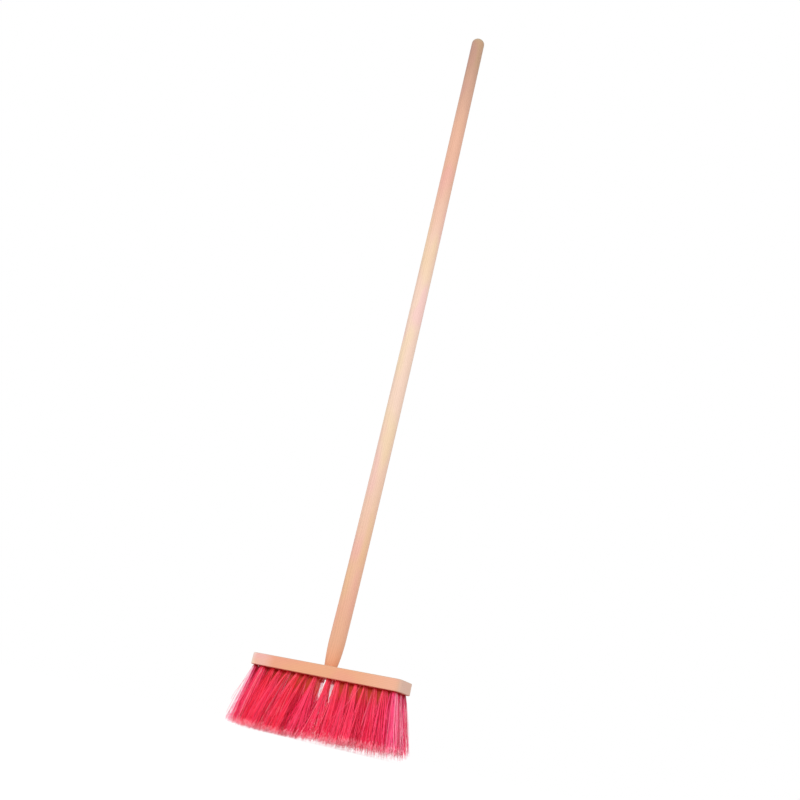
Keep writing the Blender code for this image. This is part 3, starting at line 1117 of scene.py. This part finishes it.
def tuft_strands(along, across, count, bristle, chance):
    """Paths of a tuft's strands, from the bottom of the hole to their tips.

    A tip lies where its strand aims, out from the end of the tuft's axis, and bent aside by the
    comb. Between, a strand goes outwards as a power of its length, and bows and waves a little
    as sines.
    """
    mouth, down, side, fore = tuft_axes(along, across)
    disc, aim, bunch = strand_aims(along, count, bristle, chance)
    axis_end = mouth + down * (UNDERSIDE / -down[2])
    shares = STATION_SHARES
    spread = chance.normal(1, COMB_SPREAD, count)[:, None]
    combed = -bristle.comb * spread * comb_course(axis_end[0], shares)
    reach = TIP_PITCH_ALONG * (WIDE_AIM_SHARE if abs(along) < 1 else AIM_SHARE)
    reach_across = TIP_PITCH_ACROSS * AIM_ACROSS_SHARE
    tip = np.empty((count, 3))
    tip[:, 0] = axis_end[0] + combed[:, -1]
    tip[:, 0] += held_in(aim[:, 0], axis_end[0], TIP_END + END_ROOM, reach)
    tip[:, 1] = axis_end[1]
    tip[:, 1] += held_in(aim[:, 1], axis_end[1], TIP_LIMIT[1], reach_across)
    tip[:, :2] = np.clip(tip[:, :2], -TIP_LIMIT, TIP_LIMIT)
    shorter = chance.normal(SHORTER, SHORTER_SPREAD, count)
    shorter += SHORTER_WHERE_WORN * worn_share(tip[:, 0])
    tip[:, 2] = trimmed(tip[:, 0]) + np.abs(shorter) * bristle.unevenness

    root = disc[:, :1] * ROOT_RADIUS * side + disc[:, 1:] * ROOT_RADIUS * fore
    length = ((UNDERSIDE - tip[:, 2]) / -down[2])[:, None, None]
    share = shares[None, :, None]
    least, most, flare = opening(along, across)
    out = share ** chance.uniform(least, most, (count, 1, 1))
    free = tip - (mouth + down * length[:, 0])
    swing = np.sin(shares * math.pi)[None, :, None] * chance.normal(0, STRAND_BOW, (count, 1, 2))
    waves = chance.uniform(*STRAND_WAVES, (count, 1, 1))
    phase = chance.uniform(0, FULL_TURN, (count, 1, 2))
    height = chance.uniform(*WAVE_HEIGHTS, (count, 1, 1))
    stray = swing + height * np.sin(share * waves * FULL_TURN + phase) * share
    wider = 1 + flare * np.minimum(share / shares[1], 1)
    paths = mouth + down * (share * length) + root[:, None] * wider * (1 - out)
    paths += free[:, None] * out
    paths[..., 0] += combed - combed[:, -1:] * out[..., 0]
    paths += stray[..., :1] * side
    paths += stray[..., 1:] * fore
    kept_over(paths, TIP_GAP)
    inner_end = (mouth + root - down * (HOLE_DEPTH - ROOT_GAP))[:, None]
    paths = np.concatenate([inner_end, paths], 1)
    return paths, np.concatenate([[0], shares]), bunch, disc[:, 0], aim[:, 0]


def flag_strands(paths, bristle, chance):
    """Fine hairs that leave each strand near its tip and part a little on the way."""
    count = len(paths) * bristle.flags
    last, before = paths[:, -1], paths[:, -2]
    way = (last - before) / np.linalg.norm(last - before, axis=1, keepdims=True)
    way = np.repeat(way, bristle.flags, 0)
    end = np.repeat(last, bristle.flags, 0)
    part = chance.normal(0, HAIR_PARTING, (count, 3)) * HAIR_PARTING_SHARES
    most = HAIR_LONGER + HAIR_LONGER_WHERE_WORN * worn_share(end[:, :1])
    longer = chance.uniform(0, 1, (count, 1)) ** HAIR_LONGER_POWER * most
    split = bristle.flag_length * chance.uniform(*HAIR_START_SHARES, (count, 1))
    start = end - way * split
    tip = end + way * longer + part
    middle = (start + tip) / 2 + part * HAIR_BOW_SHARE
    hairs = np.stack([start, middle, tip], 1)
    hairs[:, :, :2] = np.clip(hairs[:, :, :2], -TIP_LIMIT, TIP_LIMIT)
    kept_over(hairs, HAIR_GAP)
    return hairs


def strand_looks(along, bunch, beside, aside, bristle, chance):
    """How blue, how light and how pale each strand of a tuft is, from 0 to 1.

    beside and aside say how far to +X its root and its aim are. Hue and tone differ from tuft to
    tuft, from bunch to bunch and from strand to strand. The hue gets bluer as a power of the way
    to an end, and pale strands stand on the outer side of the end tufts.
    """
    count = len(bunch)
    end = math.copysign(1, along)
    at_end = abs(along) == PLACES_TO_END
    hue = HUE - HUE_ALONG * along / PLACES_TO_END
    hue += HUE_TO_ENDS * (abs(along) / PLACES_TO_END) ** HUE_TO_ENDS_POWER
    hue += chance.normal(0, TUFT_HUES) + (abs(along) < 1) * HUE_AT_MIDDLE
    tone = TONE + chance.normal(0, BUNCH_TONES, bristle.clumps)[bunch]
    tone += chance.normal(0, STRAND_TONES, count)
    tone += chance.normal(0, TUFT_TONES)
    # Painted shade and light: a darker -X end tuft, a lighter +X end tuft, and each tuft darker on
    # its +X side
    tone += at_end * TONE_AT_ENDS[end] - LIGHT_AND_SHADE_ACROSS_TUFT * beside
    tone -= TONE_LOST_AT_LEFT * np.clip((-along - LOST_FROM_PLACE) / LOST_OVER_PLACES, 0, 1)
    hue = hue + chance.normal(0, BUNCH_HUES, bristle.clumps)[bunch]
    hue += chance.normal(0, STRAND_HUES, count)
    # The pale outer strands of the end tufts are painted light, the white room shining through the
    # thin ends of the field
    outer = np.maximum(aside, beside) if along > 0 else -np.minimum(aside, beside)
    outer_chance = np.where(outer > OUTER_FROM[end], OUTER_PALE_CHANCE, INNER_PALE_CHANCE)
    picked = chance.uniform(0, 1, count) < (outer_chance if at_end else PALE_CHANCE)
    pale = picked * chance.uniform(LEAST_PALE_SHARE, 1, count)
    return hue, tone, pale * (PALEST_AT_ENDS[end] if at_end else PALEST_ELSEWHERE)


def build_tuft(node, bristle, materials):
    """One tuft of strands in place of its solid, with its split tips.

    The seed is a number of its own for each hole.
    """
    along, across = place_of(node)
    chance = np.random.default_rng(1000 * (across + 2) + int(2 * along + 40))
    paths, shares, bunch, beside, aside = tuft_strands(
        along, across, bristle.per_tuft, bristle, chance
    )
    count, stations = paths.shape[:2]
    past = np.maximum(shares - TAPER_FROM_SHARE, 0)
    thickness = bristle.radius * chance.uniform(*THICKNESS_SHARES, (count, 1))
    points, quads, ends = strand_surface(paths, thickness * (1 - past * TAPER_RATE), chance)
    hairs = flag_strands(paths, bristle, chance)
    hair_count, hair_stations = hairs.shape[:2]
    hair_radii = np.tile(bristle.flag_radius * np.array(HAIR_RADIUS_SHARES), (hair_count, 1))
    hair_points, hair_quads, hair_ends = strand_surface(hairs, hair_radii, chance)
    hue, tone, pale = (
        np.concatenate(
            [
                by_vertex(values, stations),
                by_vertex(np.repeat(values, bristle.flags), hair_stations),
            ]
        )
        for values in strand_looks(along, bunch, beside, aside, bristle, chance)
    )
    reach = np.concatenate(
        [by_station(shares, count), by_station(HAIR_REACH_SHARES, hair_count)]
    )
    slot = "bristle_rose" if abs(along) == PLACES_TO_END else "bristle_pink"
    piece = finished(
        f"{node}_strands",
        np.concatenate([points, hair_points]),
        np.concatenate([quads, hair_quads + len(points)]),
        np.concatenate([ends, hair_ends + len(points)]),
        materials[slot],
        slot,
        node,
    )
    give_values(piece, reach=reach, tone=tone, hue=hue, pale=pale)


def curved(corners, stations):
    """Points along the cubic curves that four corners each pull into shape."""
    share = np.linspace(0, 1, stations)[None, :, None]
    first, second, third, last = (corners[:, None, place] for place in range(4))
    return (
        (1 - share) ** 3 * first
        + 3 * (1 - share) ** 2 * share * second
        + 3 * (1 - share) * share**2 * third
        + share**3 * last
    )


def leaning_corners(along, across, lean, depth, chance):
    """The curve of a bristle that leaves a hole and leans along the row, to end at a depth."""
    mouth, down, _, _ = tuft_axes(along, across)
    aside = np.array([lean, 0, 0])
    tip = mouth + down * depth + aside
    tip[:2] = np.clip(tip[:2], -TIP_LIMIT, TIP_LIMIT)
    second = mouth + down * depth * SECOND_CORNER_SHARE
    second += aside * chance.uniform(*SECOND_LEAN_SHARES)
    third = mouth + down * depth * THIRD_CORNER_SHARE
    third += aside * chance.uniform(*THIRD_LEAN_SHARES) - [0, STRAY_FORWARD, 0]
    return np.array([mouth - down * STRAY_ROOT, second, third, tip])


def build_strays(bristle, material):
    """The bent bristles as one piece of thin tubes.

    The first are as the photo shows them, others leave any front hole, and the thin pale wisps
    leave the end holes, a few of them at the -X end and the rest at +X.
    """
    chance = np.random.default_rng(STRAY_SEED)
    corners = list(SEEN_STRAYS)
    for _ in range(bristle.strays):
        along = chance.integers(0, PLACES_PER_ROW) - PLACES_TO_END
        lean, depth = chance.uniform(*STRAY_LEANS), chance.uniform(*STRAY_DEPTHS)
        corners.append(leaning_corners(along, -1, lean, depth, chance))
    for number in range(bristle.end_wisps):
        way = 1 if number % WISPS_PER_LEFT_WISP else -1
        lean, depth = way * chance.uniform(*WISP_LEANS), chance.uniform(*WISP_DEPTHS)
        across = way * min(number // WISPS_PER_LEFT_WISP % len(ROWS), 1)
        corners.append(leaning_corners(way * PLACES_TO_END, across, lean, depth, chance))
    count, stations = len(corners), STRAY_STATIONS
    bent = np.arange(count) < count - bristle.end_wisps
    thickness = bristle.radius * np.where(bent, BENT_RADIUS_SHARE, WISP_RADIUS_SHARE)
    radii = np.repeat(thickness[:, None], stations, 1)
    tubes = strand_surface(curved(np.array(corners), stations), radii, chance)
    piece = finished("stray_strands", *tubes, material, "bristle_pink")
    give_values(
        piece,
        reach=by_station(np.linspace(*STRAY_REACH_SHARES, stations), count),
        tone=by_vertex(chance.uniform(*STRAY_TONES, count), stations),
        hue=by_vertex(np.where(bent, BENT_HUE, WISP_HUE), stations),
        pale=by_vertex(np.where(bent, BENT_PALE_SHARE, WISP_PALE_SHARE), stations),
    )


def build_worn_places(bristle, material):
    """What shows beside the wide middle step: short broken bristles and a few long pale ones."""
    chance = np.random.default_rng(WORN_SEED)
    paths, reach, long = [], [], []
    for along in (-0.5, 0.5):
        left, shares, *_ = tuft_strands(along, 0, bristle.left_over, bristle, chance)
        broken, *_ = tuft_strands(along, 0, bristle.broken, bristle, chance)
        for moved in (left, broken):
            moved[..., 0] -= math.copysign(WORN_INWARD, along)
        ways = chance.uniform(*BROKEN_SHARES, (len(broken), 1))
        share = np.linspace(0, 1, len(shares)) * ways
        start, stop = broken[:, :1], broken[:, BROKEN_STATION : BROKEN_STATION + 1]
        paths += [left, start + (stop - start) * share[..., None]]
        clean = np.tile(np.maximum(shares, LEFT_REACH_SHARE), (len(left), 1))
        reach += [clean, np.full(share.shape, BROKEN_REACH_SHARE)]
        long += [np.ones(len(left)), np.zeros(len(broken))]
    paths, long = np.concatenate(paths), np.concatenate(long)
    paths[..., 2] = np.minimum(paths[..., 2], UNDERSIDE + WORN_ROOT)
    count, stations = paths.shape[:2]
    thickness = bristle.radius * np.where(long, LEFT_RADIUS_SHARE, 1.0)
    radii = np.repeat(thickness[:, None], stations, 1)
    tubes = strand_surface(paths, radii, chance)
    piece = finished("worn_strands", *tubes, material, "bristle_pink")
    tone = chance.uniform(*WORN_TONES, count) + long * LEFT_LIGHTER
    hue = np.maximum(chance.uniform(*WORN_HUES, count), long)
    pale = long * chance.uniform(*LEFT_PALE_SHARES, count)
    give_values(
        piece,
        reach=np.repeat(np.concatenate(reach).ravel(), STRAND_SIDES),
        tone=by_vertex(tone, stations),
        hue=by_vertex(hue, stations),
        pale=by_vertex(pale, stations),
    )


class BROOM_OT_handle(Operator):
    """Turn the handle and give it its wood"""

    bl_idname = "broom.handle"
    bl_label = "Handle"

    def execute(self, context):
        wood = context.scene.broom_wood
        surface = turned_surface(turned_outline(), wood.handle_sides, wood.bow)
        stick = finished("handle_stick", *surface, handle_wood(wood), "handle_wood", "handle")
        stick.data.shade_smooth()
        return {"FINISHED"}


class BROOM_OT_block(Operator):
    """Give the drilled block its wood"""

    bl_idname = "broom.block"
    bl_label = "Block"

    def execute(self, context):
        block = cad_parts["block"]
        block.data.materials.clear()
        block.data.materials.append(block_wood(context.scene.broom_wood))
        return {"FINISHED"}


class BROOM_OT_tufts(Operator):
    """Fill every drilled hole with a tuft of bristles"""

    bl_idname = "broom.tufts"
    bl_label = "Tufts"

    def execute(self, context):
        bristle = context.scene.broom_bristles
        materials = {
            slot: bristle_finish(f"{slot}_strands", bristle)
            for slot in ("bristle_pink", "bristle_rose")
        }
        nodes = [name for name in sorted(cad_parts) if "_tuft_" in name]
        if not nodes:
            raise RuntimeError("the packed part has no tufts")
        for node in nodes:
            build_tuft(node, bristle, materials)
        build_strays(bristle, materials["bristle_pink"])
        build_worn_places(bristle, materials["bristle_pink"])
        return {"FINISHED"}


class BROOM_OT_stage(Operator):
    """Set up the floor, the white room, the lamps and the camera"""

    bl_idname = "broom.stage"
    bl_label = "Stage"

    def execute(self, context):
        stage = context.scene.broom_stage
        build_floor(stage.floor_side)
        build_surroundings(context.scene, stage.surroundings)
        add_lamp("key_lamp", KEY_PLACE, LAMP_AIM, KEY_SIZE, stage.key)
        add_lamp("fill_lamp", FILL_PLACE, LAMP_AIM, FILL_SIZE, stage.fill)
        camera = bpy.data.objects.new("camera", bpy.data.cameras.new("camera"))
        camera.location = stage.camera_place
        camera.rotation_euler = stage.camera_turn
        camera.data.sensor_width = SENSOR_WIDTH
        camera.data.lens = stage.lens
        camera.data.clip_start = NEAREST_SEEN
        context.scene.collection.objects.link(camera)
        context.scene.camera = camera
        context.scene.view_settings.view_transform = "Standard"
        return {"FINISHED"}


def straight_view(finish):
    """1 for what the camera sees directly, in a mirror or through glass, and 0 for light."""
    seen = [
        finish.node("ShaderNodeLightPath", output=name)
        for name in ("Is Camera Ray", "Is Glossy Ray", "Is Transmission Ray")
    ]
    return seen[0].math("MAXIMUM", seen[0], seen[1].math("MAXIMUM", seen[1], seen[2]))


def build_floor(side):
    """A pale floor. Seen directly, part of it is plain white and the rest keeps the shadow.

    The plain part grows from under the broom outwards, until all of the far floor is white.
    """
    finish = Finish(bpy.data.materials.new("pale_floor"))
    x, y, _ = finish.place()
    far = finish.rise((x * x + y * y) ** 0.5, *PLAIN_ZONE)
    plain = PLAIN_NEAR + far * (1 - PLAIN_NEAR)
    lit = finish.node("ShaderNodeBsdfDiffuse", sockets={"Color": FLOOR_GREY})
    white = finish.node(
        "ShaderNodeEmission", sockets={"Color": WHITE, "Strength": SEEN_WHITE}
    )
    mixed = finish.node(
        "ShaderNodeMixShader", sockets={0: straight_view(finish) * plain, 1: lit, 2: white}
    )
    finish.node("ShaderNodeOutputMaterial", sockets={"Surface": mixed})
    half = side / 2
    mesh = bpy.data.meshes.new("floor")
    corners = [(-half, -half, 0), (half, -half, 0), (half, half, 0), (-half, half, 0)]
    mesh.from_pydata(corners, [], [(0, 1, 2, 3)])
    mesh.materials.append(finish.owner)
    floor = bpy.data.objects.new("floor", mesh)
    bpy.context.scene.collection.objects.link(floor)


def build_surroundings(scene, brightness):
    """A white room: plain white where it is seen, and dimmer as a light."""
    world = bpy.data.worlds.new("white_room")
    scene.world = world
    finish = Finish(world)
    seen = straight_view(finish)
    strength = seen * (1 - brightness) + brightness
    light = finish.node("ShaderNodeBackground", sockets={"Strength": strength})
    light.socket.node.inputs["Color"].default_value = WHITE
    finish.node("ShaderNodeOutputWorld", sockets={"Surface": light})


def add_lamp(name, place, aim, size, power):
    """A square lamp that faces a point."""
    lamp = bpy.data.lights.new(name, "AREA")
    lamp.energy = power
    lamp.size = size
    holder = bpy.data.objects.new(name, lamp)
    holder.location = place
    toward = Vector(aim) - holder.location
    holder.rotation_euler = toward.to_track_quat("-Z", "Y").to_euler()
    bpy.context.scene.collection.objects.link(holder)


class BROOM_PT_panel(Panel):
    """The steps that build the broom, and their sizes and colours"""

    bl_label = "Street Broom"
    bl_idname = "BROOM_PT_panel"
    bl_space_type = "VIEW_3D"
    bl_region_type = "UI"
    bl_category = "Broom"

    def draw(self, context):
        for step in STEPS:
            self.layout.operator(step.bl_idname)
        for name, kind in SETTINGS.items():
            settings = getattr(context.scene, name)
            for field in kind.__annotations__:
                self.layout.prop(settings, field)


STEPS = (BROOM_OT_handle, BROOM_OT_block, BROOM_OT_tufts, BROOM_OT_stage)
SETTINGS = {
    "broom_wood": WoodSettings,
    "broom_bristles": BristleSettings,
    "broom_stage": StageSettings,
}
CLASSES = (*SETTINGS.values(), *STEPS, BROOM_PT_panel)


def register():
    for kind in CLASSES:
        bpy.utils.register_class(kind)
    for name, kind in SETTINGS.items():
        setattr(bpy.types.Scene, name, PointerProperty(type=kind))


def unregister():
    for name in SETTINGS:
        delattr(bpy.types.Scene, name)
    for kind in reversed(CLASSES):
        bpy.utils.unregister_class(kind)


def main():
    register()
    bpy.ops.broom.handle()
    bpy.ops.broom.block()
    bpy.ops.broom.tufts()
    bpy.ops.broom.stage()


if __name__ == "__main__":
    main()
